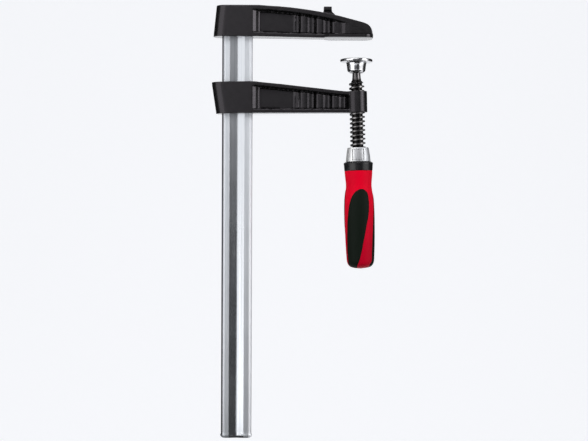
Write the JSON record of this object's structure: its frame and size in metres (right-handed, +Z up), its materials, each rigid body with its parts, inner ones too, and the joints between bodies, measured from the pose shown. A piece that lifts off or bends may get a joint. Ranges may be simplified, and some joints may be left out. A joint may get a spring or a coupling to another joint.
{
  "type": "screw clamp",
  "caption": "One-handed screw clamp: a cast jaw fixed on a flat steel rail, a sliding cast arm, and a threaded spindle with swivelling pressure plate and two-colour handle.",
  "frame": {"origin": "on the fixed jaw's clamping face, one throat depth out from the rail's inner edge, in the clamp's mid-plane", "axes": "+Z up along the rail from its free end to the fixed jaw, +X from the rail out to the jaws' noses, +Y across the clamp, away from the viewer of the picture"},
  "size_m": [0.1875, 0.0374, 0.4946],
  "materials": {
    "rail_steel": "bright cold-drawn, fine lines along the bar",
    "black_casting": "satin black coating over a fine cast grain",
    "black_oxide_steel": "black oxide, oiled",
    "plated_steel": "bright plated, turned",
    "spring_wire": "drawn wire",
    "satin_metal": "satin, fine turned lines",
    "black_plastic": "gloss",
    "red_plastic": "semi-gloss moulded",
    "black_rubber": "soft matt"
  },
  "bodies": {
    "frame": {"rail": "rail_steel", "fixed_jaw": "black_casting"},
    "arm": {"sliding_arm": "black_casting"},
    "screw_carrier": {"collar": "black_plastic"},
    "screw": {"spindle": "black_oxide_steel", "ferrule": "satin_metal", "handle_body": "red_plastic", "grip_insert_1": "black_rubber", "grip_insert_2": "black_rubber", "grip_insert_3": "black_rubber"},
    "plate_retainer": {"snap_ring": "spring_wire"},
    "plate": {"pressure_plate": "plated_steel"}
  },
  "joints": [
    {"name": "arm_slide", "type": "slide", "parent": "frame", "child": "arm", "axis": [0, 0, 1], "range_m": [-0.3655, 0]},
    {"name": "screw_feed", "type": "slide", "parent": "arm", "child": "screw_carrier", "axis": [-0.0244, 0, 0.9997], "range_m": [-0.018, 0.007]},
    {"name": "screw_turn", "type": "hinge", "parent": "screw_carrier", "child": "screw", "pos_m": [0, 0, -0.0726], "axis": [-0.0244, 0, 0.9997], "range_deg": [-1302, 510]},
    {"name": "plate_pull_off", "type": "slide", "parent": "screw_carrier", "child": "plate_retainer", "axis": [0, 0, 1], "range_m": [0, 0.0135], "deforming": ["snap_ring"]},
    {"name": "plate_tilt", "type": "hinge", "parent": "plate_retainer", "child": "plate", "pos_m": [-0.00095, 0, -0.03361], "axis": [0, 1, 0], "range_deg": [-8, 8]}
  ],
  "couplings": [
    {"joint": "screw_turn", "follows": "screw_feed", "rad_per_m": 1256.6}
  ]
}
